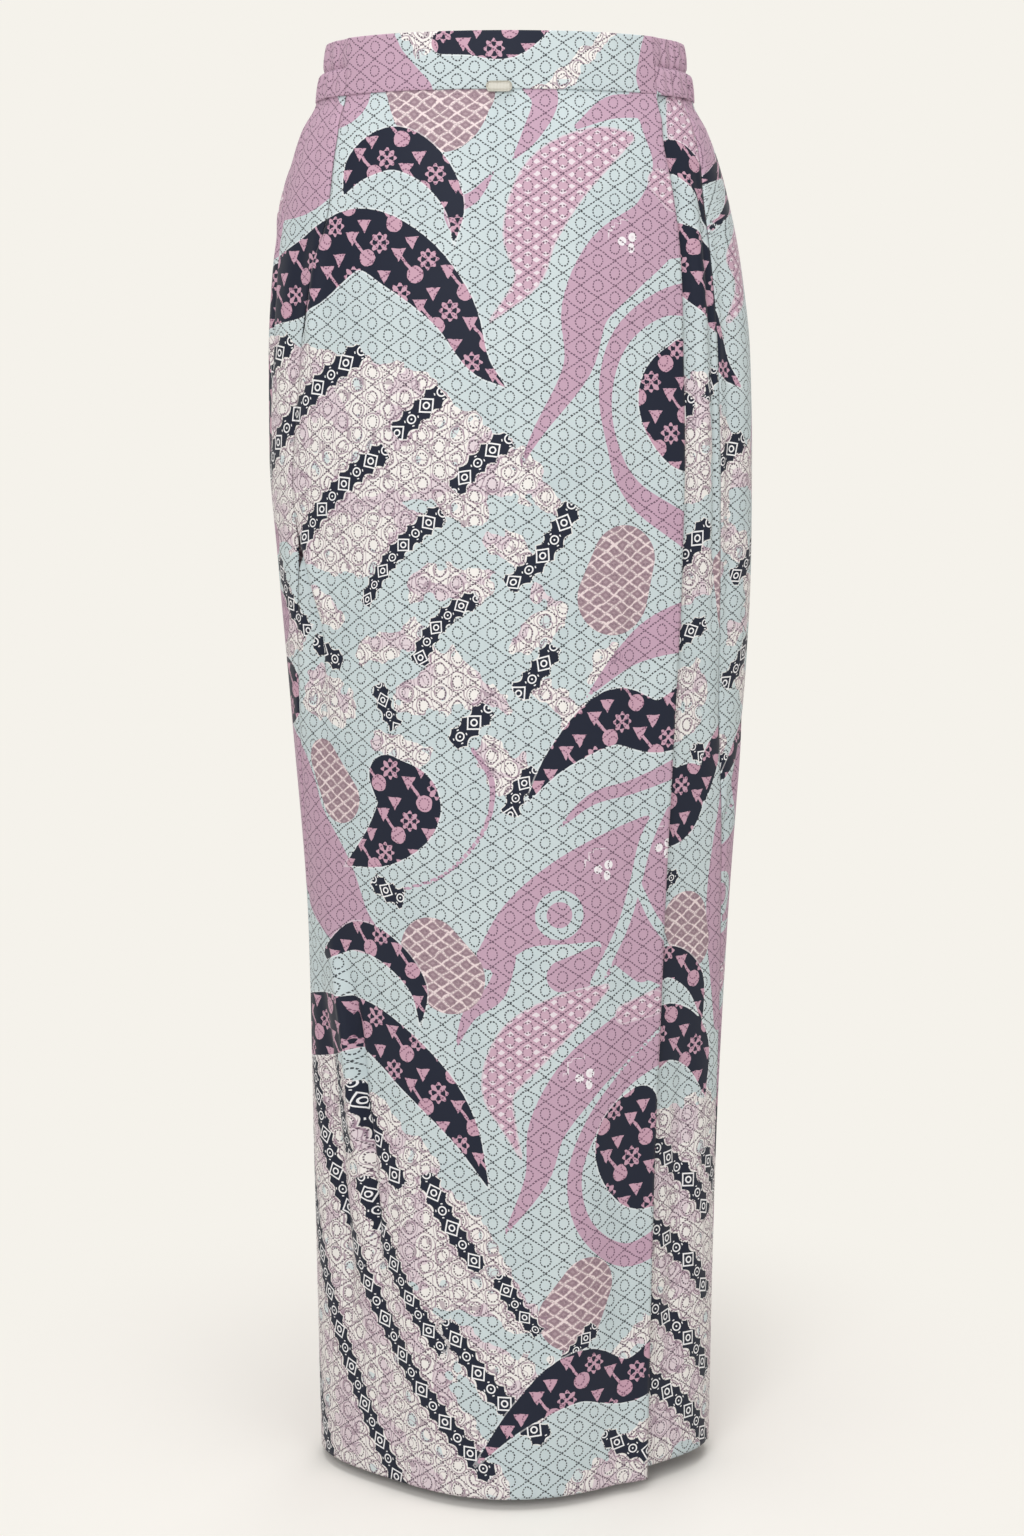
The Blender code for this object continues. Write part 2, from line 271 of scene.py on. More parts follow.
# Bands of squares and rings: from u, v to u, v, bow, and size at each end, where 5 is the drawing's own size.
chainRows = [
    (-104, 178, -238, 300, 9, 5, 5),
    (-170, 170, -252, 232, 2, 5, 5),
    (-46, 206, -80, 236, 0, 5, 4.5),
    (-86, 246, -168, 322, 6, 5, 4),
    (0, 238, -38, 274, 3, 5, 4),
    (-46, 288, -104, 352, 6, 5, 3),
    (42, 282, -2, 338, -6, 5, 4),
    (-22, 346, -64, 392, 8, 4, 4),
    (30, 378, 4, 412, -2, 4.5, 4.5),
    (-14, 420, -40, 446, 0, 5, 4.5),
    (18, 462, 0, 494, 3, 4, 4),
    (-94, 406, -80, 436, 2, 4, 3.5),
    (-156, 380, -124, 394, 0, 4.5, 4.5),
    (-198, 322, -160, 374, 4, 4.5, 4),
    (-102, 542, -76, 554, 2, 4, 4.5),
    (-120, 686, -78, 754, 4, 4.4, 5),
    (-60, 742, -20, 806, 3, 5, 4),
    (-8, 808, 20, 848, 2, 4.5, 3),
    (-114, 752, -46, 864, 6, 4.5, 4),
    (-142, 664, -124, 738, 2, 4, 3.5),
    (-178, 668, -12, 948, 22, 4.4, 4.6),
    (-192, 730, -80, 970, 12, 4.4, 4.6),
    (-212, 778, -150, 972, 8, 4.5, 4.5),
    (-46, 842, 26, 922, 5, 4.2, 5),
    (68, 924, 114, 944, 4, 4, 5),
    (60, 846, 38, 868, 0, 4, 3),
]
trefoils = [(82, 104), (66, 532), (112, 520), (52, 674)]
ringMotifs = [(34, 562, 9.0, 17.0)]  # a mauve disc in a ring of aqua: centre, radius, ring's radius
overDrawing = {
    "navy": navyStrokes, "mauve": mauveStrokes, "aqua": aquaStrokes, "leaf": leafStrokes, "net": netStrokes,
    "cream": creamStrokes, "chain": chainRows, "rings": ringMotifs, "trefoils": trefoils,
}
underDrawing = {
    "navy": [
        [(98, 52, 10), (122, 44, 12), (144, 62, 9), (150, 94, 0)],
        [(98, 128, 24), (122, 114, 24), (146, 132, 18), (158, 166, 0)],
        [(98, 480, 26), (118, 494, 27), (136, 480, 16)],
        [(94, 618, 10), (120, 602, 11), (146, 618, 9), (156, 652, 0)],
        [(94, 666, 20), (122, 652, 20), (150, 668, 14), (162, 706, 0)],
        [(168, 440, 3), (156, 464, 9), (152, 492, 0)],
    ],
    "mauve": [
        [(162, 8, 10), (170, 66, 12)],
        [(178, 482, 8), (170, 566, 14), (178, 652, 8)],
        [(120, 364, 6), (124, 378, 5)],
    ],
    "net": [[(136, 574, 20), (142, 592, 18)], [(170, 328, 14), (174, 362, 14)]],
    "leaf": [[(130, 4, 10), (132, 30, 14), (144, 46, 8)]],
    "cream": [
        [(104, 228, 42), (126, 222, 28), (134, 264, 20)],
        [(106, 344, 22), (138, 330, 22)],
        [(106, 414, 12), (136, 408, 14)],
        [(100, 448, 12), (132, 436, 10)],
        [(90, 836, 126), (150, 826, 120), (215, 858, 108)],
    ],
    "chain": [
        (156, 190, 146, 212, 0, 4, 4),
        (134, 210, 104, 256, 3, 5, 5),
        (150, 296, 112, 336, 0, 5, 5),
        (148, 366, 106, 390, 2, 4, 5),
        (138, 452, 152, 464, 0, 4, 4),
        (104, 554, 128, 540, 0, 4, 3),
        (90, 718, 168, 792, -8, 5, 4.5),
        (90, 776, 170, 850, -8, 5, 4.5),
        (90, 832, 172, 908, -8, 5, 4.5),
        (90, 886, 174, 960, -8, 5, 4.5),
        (160, 742, 196, 808, -4, 4.5, 4),
    ],
}
backWaistStroke = [(-246, 36, 56), (-190, 28, 58), (-156, 38, 42), (-136, 24, 20)]  # for the last two
backDrawing = {**overDrawing, "mauve": [*mauveStrokes[:-2], backWaistStroke]}
bandDrawing = {
    "navy": [[(-46, 8, 8), (-26, 2, 15), (-2, 2, 17), (24, -8, 8)]],
    "mauve": [
        [(-310, 12, 50), (-190, 10, 50), (-132, 6, 42), (-92, 26, 22), (-66, 42, 13)],
        [(262, 16, 50), (180, 18, 50), (136, 12, 38), (110, 28, 20)],
    ],
    "cream": [[(-72, -2, 5), (-58, 6, 7), (-48, 0, 4)], [(72, -2, 4), (60, 12, 4), (46, 22, 5), (26, 42, 4)]],
}
printRepeat = 345.0  # the drawing comes back after this many millimetres round the cloth


def smoothCurve(points, steps=6):  # an open curve through the points
    values = np.array(points, float)
    tangents = np.empty_like(values)
    tangents[1:-1] = (values[2:] - values[:-2]) / 2
    tangents[0], tangents[-1] = values[1] - values[0], values[-1] - values[-2]
    made = []
    for i in range(len(values) - 1):
        for s in np.arange(steps) / steps:
            made.append(
                (2 * s**3 - 3 * s**2 + 1) * values[i]
                + (s**3 - 2 * s**2 + s) * tangents[i]
                + (3 * s**2 - 2 * s**3) * values[i + 1]
                + (s**3 - s**2) * tangents[i + 1]
            )
    return np.array(made + [values[-1]])


farAway = 15.0  # millimetres; no layer looks further than this
unset = 1e9  # further off than anything


def nearBy(at, curve, margin):
    low, high = curve[:, :2].min(0) - margin, curve[:, :2].max(0) + margin
    return np.nonzero(((at > low) & (at < high)).all(1))[0]


# For a stroke: how far from its edge and its middle, on which side, how far along, and its half width there.
def toStroke(points, curve, openEnds=False):
    edge = np.full(len(points), unset)
    middle, side, gone, width = (np.zeros(len(points)) for _ in range(4))
    run, last = 0.0, len(curve) - 2
    for number, (start, end) in enumerate(zip(curve[:-1], curve[1:])):
        step = end[:2] - start[:2]
        length = max(np.hypot(*step), 1e-6)
        rel = points - start[:2]
        s = rel @ step / length**2
        s = np.clip(s, -9 if openEnds and number == 0 else 0, 9 if openEnds and number == last else 1)
        apart = rel - s[:, None] * step
        distance = np.hypot(apart[:, 0], apart[:, 1])
        half = np.maximum(start[2] + np.clip(s, 0, 1) * (end[2] - start[2]), 0.0)
        better = distance - (0 if openEnds else half) < edge
        edge[better] = (distance - (0 if openEnds else half))[better]
        middle[better], width[better] = distance[better], half[better]
        side[better] = np.sign(step[0] * rel[better, 1] - step[1] * rel[better, 0])
        gone[better] = run + s[better] * length
        run += length
    return edge, middle, side, gone, width


def strokeDistance(at, stroke):  # below 0 inside
    curve = smoothCurve(stroke)
    found = np.full(len(at), farAway)
    near = nearBy(at, curve, farAway + curve[:, 2].max())
    if len(near):
        found[near] = np.minimum(toStroke(at[near], curve)[0], farAway)
    return found


def chainCurve(row):
    fromU, fromV, toU, toV, bow, fromHalf, toHalf = row
    s = np.linspace(0, 1, 6)
    length = math.hypot(toU - fromU, toV - fromV)
    aside = 4 * bow * s * (1 - s) / length
    acrossCloth = fromU + s * (toU - fromU) - aside * (toV - fromV)
    downCloth = fromV + s * (toV - fromV) + aside * (toU - fromU)
    return smoothCurve(np.stack([acrossCloth, downCloth, fromHalf + s * (toHalf - fromHalf)], 1))


chain = {
    "size": 5.0,  # the drawing's own half width
    "margin": 8.0,  # past a band's end, distances start from here
    "endPace": 4.0,  # and grow this fast, which cuts the ends square
    "endLap": 2.0,
    "firstMark": 13.0,  # where a band's marks start
    "pace": 0.93,  # and how fast they follow
}


# For the nearest band: how near, and how far across and along it, all at the drawing's own size.
def chainPlaces(at, rows):
    nearest, across, gone = np.full(len(at), farAway), np.zeros(len(at)), np.zeros(len(at))
    for row in rows:
        curve = chainCurve(row)
        near = nearBy(at, curve, farAway)
        if len(near) == 0:
            continue
        _, middle, side, run, width = toStroke(at[near], curve, True)
        drawn = middle * chain["size"] / np.maximum(width, 1.0)
        past = np.maximum(-run, run - np.hypot(*np.diff(curve[:, :2], axis=0).T).sum())
        within = np.maximum(drawn, (past + chain["endLap"]) * chain["endPace"])
        beyond = np.minimum(np.maximum(drawn, chain["margin"] + past * chain["endPace"]), farAway)
        score = np.where(past < 0, within, beyond)
        better = score < nearest[near]
        nearest[near[better]] = score[better]
        across[near[better]] = (drawn * np.where(side == 0, 1, side))[better]
        scale = chain["size"] / (row[5] + row[6]) * 2
        gone[near[better]] = run[better] * scale * chain["pace"] + chain["firstMark"]
    return nearest, across, gone


def drawLayers(at, drawing, repeat=None):  # every layer's distances at these points of the cloth
    lowest = {name: np.full(len(at), farAway) for name in ("navy", "mauve", "leaf", "net", "cream")}
    nearest, across, gone = np.full(len(at), farAway), np.zeros(len(at)), np.zeros(len(at))
    spotU, spotV = np.full(len(at), farAway), np.full(len(at), farAway)
    for shift in (0.0,) if repeat is None else (0.0, repeat, 2 * repeat):
        points = at + (shift, 0.0)
        for name in lowest:
            for stroke in drawing.get(name, []):
                lowest[name] = np.minimum(lowest[name], strokeDistance(points, stroke))
        for stroke in drawing.get("aqua", []):
            lowest["mauve"] = np.maximum(lowest["mauve"], -strokeDistance(points, stroke))
        for u, v, disc, ring in drawing.get("rings", []):
            apart = np.hypot(points[:, 0] - u, points[:, 1] - v)
            cut = np.minimum(np.maximum(lowest["mauve"], ring - apart), apart - disc)
            lowest["mauve"] = np.where(apart < ring + 8, cut, lowest["mauve"])
        for u, v in drawing.get("trefoils", []):
            near = np.hypot(points[:, 0] - u, points[:, 1] - v) < farAway
            spotU[near], spotV[near] = points[near, 0] - u, points[near, 1] - v
        found = chainPlaces(points, drawing.get("chain", []))
        better = found[0] < nearest
        nearest[better], across[better], gone[better] = found[0][better], found[1][better], found[2][better]
    return {**lowest, "spotU": spotU, "spotV": spotV, "near": nearest, "across": across, "gone": gone}


# Creases, listed one by one: the run of each in millimetres of cloth, half width, and depth (troughs below
# 0).
frontCreases = [
    ([(-148, 92), (-156, 140), (-162, 172)], 4.0, -1.8),
    ([(-139, 96), (-146, 150), (-150, 185)], 6.0, 1.2),
    ([(-178, 290), (-164, 328), (-150, 364), (-146, 425)], 4.0, -2.4),
    ([(-168, 296), (-152, 330), (-139, 370)], 7.0, 1.3),
    ([(-131, 590), (-118, 648), (-112, 703), (-106, 742), (-97, 857)], 3.4, -2.4),
    ([(-140, 585), (-127, 645), (-120, 705), (-113, 760)], 5.0, 2.2),
    ([(-152, 640), (-140, 740), (-126, 860)], 5.0, -1.4),
    ([(-85, 700), (-72, 820), (-60, 950)], 16.0, 1.2),
    ([(-40, 560), (-30, 700), (-12, 900)], 20.0, -1.3),
    ([(60, 620), (48, 760), (40, 940)], 24.0, 1.6),
    ([(86, 180), (92, 330), (88, 520)], 14.0, -0.9),
    ([(-60, 240), (-46, 380), (-52, 520)], 18.0, -1.0),
    ([(10, 120), (16, 260), (8, 420)], 22.0, 0.9),
]
underCreases = [
    ([(138, 20), (150, 130), (156, 260), (156, 420)], 3.5, -1.6),
    ([(128, 30), (141, 140), (146, 300)], 5.0, 1.0),
    ([(140, 640), (136, 760), (128, 930)], 9.0, -1.6),
]
backCreases = [  # measured from the left seam, round the back
    ([(-190, 30), (-198, 120), (-205, 230)], 5.0, -1.6),
    ([(-214, 20), (-222, 100)], 4.0, 1.4),
    ([(-250, 60), (-262, 240), (-258, 420)], 12.0, -1.8),
    ([(-330, 120), (-322, 330), (-335, 520)], 16.0, 1.8),
    ([(-405, 90), (-412, 300), (-402, 560)], 14.0, -1.9),
    ([(-480, 150), (-470, 420), (-476, 700)], 18.0, 1.7),
    ([(-545, 70), (-556, 260), (-548, 430)], 12.0, -1.8),
    ([(-290, 560), (-300, 760), (-292, 950)], 18.0, -2.0),
    ([(-430, 640), (-440, 800), (-432, 960)], 20.0, 2.0),
    ([(-520, 600), (-512, 780), (-520, 940)], 16.0, -1.8),
    ([(-612, 30), (-620, 200), (-626, 420), (-632, 640)], 5.0, -1.5),
    ([(-598, 40), (-606, 220)], 7.0, 1.2),
    ([(-362, 400), (-372, 560), (-366, 680)], 12.0, -1.2),
]


def creaseDepth(u, v, creases):
    at = np.stack([u, v], 1)
    total = np.zeros(len(at))
    for run, width, depth in creases:
        curve = smoothCurve([(*point, 0) for point in run])
        near = nearBy(at, curve, width * 3)
        if len(near):
            distance, _, _, gone, _ = toStroke(at[near], curve)
            share = gone / np.hypot(*np.diff(curve[:, :2], axis=0).T).sum()
            fade = smoothStep(share, 0.0, 0.25) * (1 - smoothStep(share, 0.7, 1.0))
            total[near] += skirt["creaseDepth"] * depth / 1000 * fade * np.exp(-((distance / width) ** 2))
    return total


print("form and drawing ready")


def hexColour(text):
    parts = [int(text[i:i + 2], 16) / 255 for i in (1, 3, 5)]
    return tuple(p / 12.92 if p <= 0.04045 else ((p + 0.055) / 1.055) ** 2.4 for p in parts) + (1.0,)


def addNode(tree, kind, inputs=None, **settings):  # a node with its settings, values and links
    node = tree.nodes.new("ShaderNode" + kind)
    for setting, value in settings.items():
        setattr(node, setting, value)
    for socket, value in (inputs or {}).items():
        if isinstance(value, bpy.types.NodeSocket):
            tree.links.new(value, node.inputs[socket])
        else:
            node.inputs[socket].default_value = value
    return node


mathWords = {
    ast.Add: "ADD", ast.Sub: "SUBTRACT", ast.Mult: "MULTIPLY", ast.Div: "DIVIDE",
    ast.Lt: "LESS_THAN", ast.Gt: "GREATER_THAN",
    "abs": "ABSOLUTE", "fract": "FRACT", "round": "ROUND", "sqrt": "SQRT", "sin": "SINE", "cos": "COSINE",
    "atan2": "ARCTAN2", "min": "MINIMUM", "max": "MAXIMUM",
}


def workOut(tree, recipe, known):  # turns lines of arithmetic into Math nodes; known holds each named result
    def part(item):
        if isinstance(item, ast.Constant):
            return float(item.value)
        if isinstance(item, ast.Name):
            return known[item.id]
        if isinstance(item, ast.UnaryOp):
            word, values = "MULTIPLY", [part(item.operand), -1.0]
        elif isinstance(item, ast.BinOp):
            word, values = mathWords[type(item.op)], [part(item.left), part(item.right)]
        elif isinstance(item, ast.Compare):
            word, values = mathWords[type(item.ops[0])], [part(item.left), part(item.comparators[0])]
        else:
            word, values = mathWords[item.func.id], [part(one) for one in item.args]
        while len(values) > 2:
            firstTwo = addNode(tree, "Math", {0: values[0], 1: values[1]}, operation=word)
            values = [firstTwo.outputs[0], *values[2:]]
        return addNode(tree, "Math", dict(enumerate(values)), operation=word).outputs[0]

    for line in ast.parse(recipe).body:
        known[line.targets[0].id] = part(line.value)


dyes = {
    "aqua": "#CDD9DC",
    "aquaDeep": "#BDCBD0",
    "mauve": "#BF9FB4",
    "mauveLine": "#6E5468",
    "dash": "#23272F",
    "navy": "#191F31",
    "pink": "#C49DB0",
    "pinkLine": "#6E4560",
    "net": "#A8929A",
    "netLine": "#EBDBDD",
    "netDeep": "#866C7A",
    "cream": "#EBE8E6",
    "creamPink": "#D6C5D0",
    "squiggle": "#8E7386",
    "white": "#F3F3F6",
    "leaf": "#C6A5B8",
}

# The lattice of dashed lines and dashed rings that runs over the whole cloth; a diamond is 24.1 by 16.8 mm.
latticeRecipe = """
a = u / 24.1 + v / 16.8
b = u / 24.1 - v / 16.8
fa = fract(a) - 0.5
fb = fract(b) - 0.5
lineA = 13.8 * (0.5 - abs(fa))
lineB = 13.8 * (0.5 - abs(fb))
cu = (fa + fb) * 12.05
cv = (fa - fb) * 8.4
r = sqrt(cu * cu * 1.3 + cv * cv)
turn = atan2(cv, cu)
dashA = (lineA < 0.5) * (fract(b * 7) < 0.66)
dashB = (lineB < 0.5) * (fract(a * 7) < 0.66)
dashRing = (abs(r - 3.9) < 0.5) * (fract(turn * 1.91) < 0.66)
dashes = max(dashA, dashB, dashRing)
"""
# Navy ground with pink discs, arrows, rosettes and triangles, on a slanted repeat.
motifRecipe = """
s = (35 * u - 15 * v) / 1045
t = (35 * v - 12 * u) / 1045
"""
motifPlace = """
s{0} = s - {1}
t{0} = t - {2}
s{0} = s{0} - round(s{0})
t{0} = t{0} - round(t{0})
x{0} = 35 * s{0} + 15 * t{0}
y{0} = 12 * s{0} + 35 * t{0}
"""
motifShapes = """
disc = x1 * x1 + y1 * y1 < 34
stem = (abs(x2 * 0.771 - y2 * 0.636) < 1) * (abs(x2 * 0.636 + y2 * 0.771) < 8)
head = max(-y3 - 3.2, abs(x3) * 0.87 + y3 * 0.5 - 2.3) < 0.5
r4 = sqrt(x4 * x4 + y4 * y4)
q4 = atan2(y4, x4)
petals = r4 < 6.4 + cos(q4 * 8) * 1.0
holes = (abs(r4 - 3.3) < 1.7) * (cos(q4 * 4) > 0)
triangle = max(-y5 - 2.5, abs(x5) * 0.87 + y5 * 0.5 - 2.5) < 0.5
motif = max(disc, stem, head, petals * (1 - holes), triangle)
"""
# Bands of navy with scalloped sides, squares and rings in white.
chainRecipe = """
wide = abs(across)
half = 8.6 - 3.0 * abs(sin(gone * 0.2992))
band = near < half
bandEdge = (near < half + 0.9) * (near > half)
bandLine = abs(near - half - 2.3) < 0.5
ls = gone - 27.5 * round(gone / 27.5)
lr = (fract(gone / 27.5) - 0.5) * 27.5
rs = sqrt(ls * ls + across * across)
rr = sqrt(lr * lr + across * across)
qr = atan2(lr, across)
bandSquare = abs(abs(ls) + wide - 6.3) < 0.75
bandRing = abs(rs - 2.1) < 0.55
bandDisc = max(abs(rr - 2.9) < 0.5, rr < 0.7)
bandDots = (abs(rr - 5) < 0.42) * (fract(qr * 0.6366 + 0.35) < 0.2)
marks = max(bandSquare, bandRing, bandDisc, bandDots) * (wide < 6.9)
"""
groundRecipe = """
onNavy = navy < 0
navyRim = abs(navy - 0.5) < 0.5
onMauve = mauve < 0
onLeaf = leaf < 0
leafRim = abs(leaf - 0.5) < 0.6
onNet = net < 0
onCream = cream + wave * 5 + (patchRaw - 0.5) * 26 < 0
netA = (0.5 - abs(fract(a * 2 + wave * 0.16) - 0.5)) * 6.9
netB = (0.5 - abs(fract(b * 2 - wave * 0.14) - 0.5)) * 6.9
netLines = min(netA, netB) < 0.62 + wave * 0.5
netHeart = (netA > 1.2) * (netB > 1.2) * (1 - (netA > 2.5) * (netB > 2.5))
pale = (abs(fract(a * 2 + wave * 0.1) - 0.5) < 0.21 + wave * 0.08) * (abs(fract(b * 2) - 0.5) < 0.23)
spotA = (spotU + 4.4) * (spotU + 4.4) + spotV * spotV
spotB = (spotU - 3.2) * (spotU - 3.2) + (spotV + 2.8) * (spotV + 2.8)
spotC = (spotU - 2.2) * (spotU - 2.2) * 1.6 + (spotV - 4.6) * (spotV - 4.6) * 0.8
spots = min(spotA, spotB, spotC)
spotShown = (spots < 9.5) * onMauve
spotHearts = (spots < 1) * onMauve
rs1 = r + wave * 3.2
loops = max(abs(rs1 - 5.4) < 0.45, abs(rs1 - 8.3) < 0.28)
"""
shownRecipe = """
scribble = (abs(wave) < 0.045) * onCream
patch = (patchRaw > 0.56) * onCream
cells = (patchRaw < 0.36) * onCream * (r < 5)
dark = dashes * (1 - onNavy) * (1 - band) * (1 - onNet * 0.8)
darkOnMauve = dark * max(onMauve, onLeaf, onNet, onCream * 0.6)
palest = pale * onLeaf
netHearts = netHeart * onNet
netShown = netLines * onNet
loopsShown = loops * onCream
bandLineShown = bandLine * onCream
marksShown = marks * band
motifShown = motif * onNavy
motifLines = dashes * motifShown
"""
# What is dyed over what, from the ground up: where, with which dye, and how strongly.
dyeOrder = [
    ("onCream", "cream", 1.0), ("patch", "creamPink", 0.75), ("cells", "aqua", 0.9),
    ("onMauve", "mauve", 1.0), ("spotShown", "white", 0.85), ("spotHearts", "mauve", 0.25),
    ("onLeaf", "leaf", 1.0), ("palest", "white", 0.6), ("leafRim", "creamPink", 0.8),
    ("onNet", "net", 1.0), ("netHearts", "netDeep", 0.6), ("netShown", "netLine", 0.9),
    ("loopsShown", "squiggle", 0.75), ("scribble", "squiggle", 0.6), ("bandLineShown", "squiggle", 0.8),
    ("bandEdge", "cream", 0.8), ("band", "navy", 1.0), ("marksShown", "white", 0.95),
    ("navyRim", "white", 0.35), ("onNavy", "navy", 1.0), ("motifShown", "pink", 1.0),
    ("dark", "dash", 0.95), ("darkOnMauve", "mauveLine", 0.9), ("motifLines", "pinkLine", 0.8),
]
# Where the disc, the arrow's stem and head, the rosette and the triangle lie in the slanted repeat.
motifPlaces = [(0, 0), (-5.9, -7.15), (-11.8, -14.3), (9.2, -10.3), (12.6, 12)]
noises = {  # scale in cycles a metre, and detail
    "wobble": (160.0, 2.0), "squiggle": (95.0, 1.0), "patches": (34.0, 2.0), "shade": (21.0, 3.0),
}


def batikCloth(name):
    # Printed rayon: a smooth fine twill, soft low sheen; dyed colours with slightly uneven edges.
    material = bpy.data.materials.new(name)
    material.use_nodes = True
    tree = material.node_tree
    tree.nodes.clear()
    uvMap = addNode(tree, "UVMap", uv_map="cloth")
    noise = {}
    for kind, (scale, detail) in noises.items():
        inputs = {"Vector": uvMap.outputs[0], "Scale": scale, "Detail": detail}
        noise[kind] = addNode(tree, "TexNoise", inputs, noise_dimensions="2D").outputs
    inputs = {0: noise["wobble"]["Color"], 1: (0.5, 0.5, 0.5)}
    offset = addNode(tree, "VectorMath", inputs, operation="SUBTRACT")
    inputs = {0: offset.outputs[0], 1: (0.0016, 0.0016, 0.0), 2: uvMap.outputs[0]}  # edges waver by 0.8 mm
    wavered = addNode(tree, "VectorMath", inputs, operation="MULTIPLY_ADD")
    cloth = addNode(tree, "SeparateXYZ", {0: wavered.outputs[0]})
    known = {"uRaw": cloth.outputs[0], "vRaw": cloth.outputs[1]}
    for layer in ("navy", "mauve", "leaf", "net", "cream", "spotU", "spotV", "near", "across", "gone"):
        found = addNode(tree, "Attribute", attribute_name=layer, attribute_type="GEOMETRY")
        known[layer] = found.outputs["Fac"]
    known["waveRaw"], known["patchRaw"] = noise["squiggle"]["Fac"], noise["patches"]["Fac"]
    workOut(tree, "u = uRaw * 1000\nv = vRaw * 1000\nwave = waveRaw * 2 - 1", known)
    workOut(tree, latticeRecipe, known)
    workOut(tree, motifRecipe, known)
    for number, (mu, mv) in enumerate(motifPlaces, 1):
        s, t = (35 * mu - 15 * mv) / 1045, (35 * mv - 12 * mu) / 1045
        workOut(tree, motifPlace.format(number, round(s, 4), round(t, 4)), known)
    for recipe in (motifShapes, chainRecipe, groundRecipe, shownRecipe):
        workOut(tree, recipe, known)
    inputs = {0: noise["shade"]["Fac"], 6: hexColour(dyes["aqua"]), 7: hexColour(dyes["aquaDeep"])}
    colour = addNode(tree, "Mix", inputs, data_type="RGBA").outputs[2]
    for mask, dye, strength in dyeOrder:
        workOut(tree, f"share = {mask} * {strength}", known)
        inputs = {0: known["share"], 6: colour, 7: hexColour(dyes[dye])}
        colour = addNode(tree, "Mix", inputs, data_type="RGBA").outputs[2]
    # The twill's ribs are drawn 1.1 mm apart across the cloth, where real ones are about 0.3 mm, to show.
    workOut(tree, "rib = sin((u + v) * 5.7) * 0.5 + sin((u - v) * 2.1) * 0.12", known)
    bump = addNode(tree, "Bump", {"Height": known["rib"], "Strength": 0.10, "Distance": 0.0003})
    shader = addNode(tree, "BsdfPrincipled", {
        "Base Color": colour, "Normal": bump.outputs[0], "Roughness": 0.62, "Specular IOR Level": 0.25,
        "Sheen Weight": 0.06, "Sheen Roughness": 0.45,
    })
    addNode(tree, "OutputMaterial", {"Surface": shader.outputs[0]})
    return material


def creamTape(name):
    # Cotton tape: matt, close plain weave.
    material = bpy.data.materials.new(name)
    material.use_nodes = True
    tree = material.node_tree
    tree.nodes.clear()
    place = addNode(tree, "TexCoord")
    inputs = {"Vector": place.outputs["Object"], "Scale": 320.0, "Distortion": 1.5}  # threads 1 mm apart
    threads = addNode(tree, "TexWave", inputs, bands_direction="X")
    inputs = {0: threads.outputs["Fac"], 6: hexColour("#D5D4CC"), 7: hexColour("#C6C3B9")}
    tone = addNode(tree, "Mix", inputs, data_type="RGBA")
    bump = addNode(tree, "Bump", {"Height": threads.outputs["Fac"], "Strength": 0.3, "Distance": 0.0002})
    inputs = {"Base Color": tone.outputs[2], "Normal": bump.outputs[0], "Roughness": 0.7}
    shader = addNode(tree, "BsdfPrincipled", inputs)
    addNode(tree, "OutputMaterial", {"Surface": shader.outputs[0]})
    return material


# A sheet of cloth: a grid laid out by place, the print's distances at its points, and then its wall.
def makeSheet(name, grid, place, mapping, drawing, repeat=None, wall=skirt["cloth"]):
    columns, rows = grid
    down, across = np.meshgrid(np.linspace(0, 1, rows + 1), np.linspace(0, 1, columns + 1), indexing="ij")
    across, down = across.ravel(), down.ravel()
    x, y, z, angle = place(across, down)
    mesh = bpy.data.meshes.new(name)
    step = columns + 1
    first = (np.arange(rows)[:, None] * step + np.arange(columns)[None, :]).ravel()
    faces = np.stack([first, first + step, first + step + 1, first + 1], 1)
    mesh.from_pydata(np.stack([x, y, z], 1).tolist(), [], faces.tolist())
    mapped = mapping(z, angle)
    uvs = mesh.uv_layers.new(name="cloth")
    uvs.data.foreach_set("uv", (np.stack(mapped, 1) / 1000)[faces.ravel()].ravel().astype(np.float32))
    for layer, values in drawLayers(np.stack(mapped, 1), drawing, repeat).items():
        mesh.attributes.new(layer, "FLOAT", "POINT").data.foreach_set("value", values.astype(np.float32))
    mesh.shade_smooth()
    mesh.materials.append(clothMaterial)
    sheet = bpy.data.objects.new(name, mesh)
    bpy.context.scene.collection.objects.link(sheet)
    solidify = sheet.modifiers.new("wall", "SOLIDIFY")
    solidify.thickness = wall
    solidify.offset = -1
    solidify.use_quality_normals = True
    bpy.ops.object.select_all(action="DESELECT")
    bpy.context.view_layer.objects.active = sheet
    sheet.select_set(True)
    bpy.ops.object.modifier_apply(modifier="wall")
    area = sum(face.area for face in sheet.data.polygons) / 2
    print(name, len(sheet.data.polygons), "faces,", round(area, 4), "square metres")
    return sheet


clothMaterial = batikCloth("printed rayon")
tapeMaterial = creamTape("cotton tape")


def leftSeam(z):
    return along(leftSeamRows, 1, z)


def rightSeam(z):
    return along(rightSeamRows, 1, z)


def freeEdge(z):
    return along(freeEdgeRows, 1, z)


def downToHeight(down, hem):
    return skirt["waistSeam"] - skirt["seamGap"] + (hem - skirt["waistSeam"]) * down


seamLine = {"depth": 0.0009, "reach": 2.2, "fades": (0.75, 0.96)}  # metres, millimetres of cloth, metres down


def seamDip(z, seam, angle):  # the cloth is drawn in a little where it is seamed
    apart = arcFrom(z, seam, angle)
    fade = 1 - smoothStep(skirt["waistSeam"] - z, *seamLine["fades"])
    return seamLine["depth"] * np.exp(-((apart / seamLine["reach"]) ** 2)) * fade


